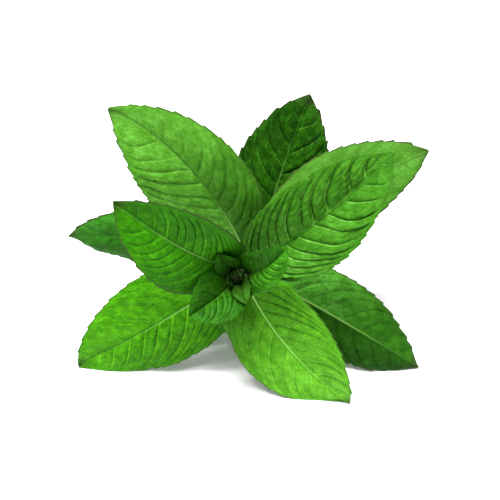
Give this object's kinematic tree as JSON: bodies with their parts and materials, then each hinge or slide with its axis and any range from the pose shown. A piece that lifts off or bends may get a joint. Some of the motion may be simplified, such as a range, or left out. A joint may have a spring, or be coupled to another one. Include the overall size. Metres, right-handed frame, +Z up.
{
  "type": "mint sprig",
  "caption": "Cut sprig of mint lying on its leaf tips and cut end: square stem, crossed pairs of toothed, veined leaves and a growing tip.",
  "frame": {"origin": "middle of the sprig's box, on the surface it lies on", "axes": "+X across the crown of leaves, its widest way; +Z up; the growing tip faces -Y and up, and the cut end lies towards +Y"},
  "size_m": [0.1032, 0.079, 0.0844],
  "materials": {
    "leaf_bright": "satin",
    "leaf_mid": "satin",
    "leaf_dark": "satin",
    "leaf_young": "satin",
    "bud": "matte",
    "stem": "satin"
  },
  "bodies": {
    "root": {"stem": "stem", "growing_tip": "bud", "inner_leaf_left": "bud", "inner_leaf_right": "bud", "bud_leaf_front": "leaf_young", "bud_leaf_back": "leaf_young", "leaf_pair1_left": "leaf_young", "leaf_pair1_right": "leaf_young", "leaf_pair2_left": "leaf_mid", "leaf_pair2_front": "leaf_bright", "leaf_pair3_right": "leaf_mid", "leaf_pair3_left": "leaf_bright", "leaf_pair4_back": "leaf_bright", "leaf_pair4_right": "leaf_dark", "leaf_pair5_right": "leaf_mid", "leaf_pair5_left": "leaf_mid", "leaf_pair6_left": "leaf_dark", "leaf_pair6_right": "leaf_dark", "leaf_pair7_back": "leaf_dark", "leaf_pair7_front": "leaf_dark"}
  },
  "joints": []
}
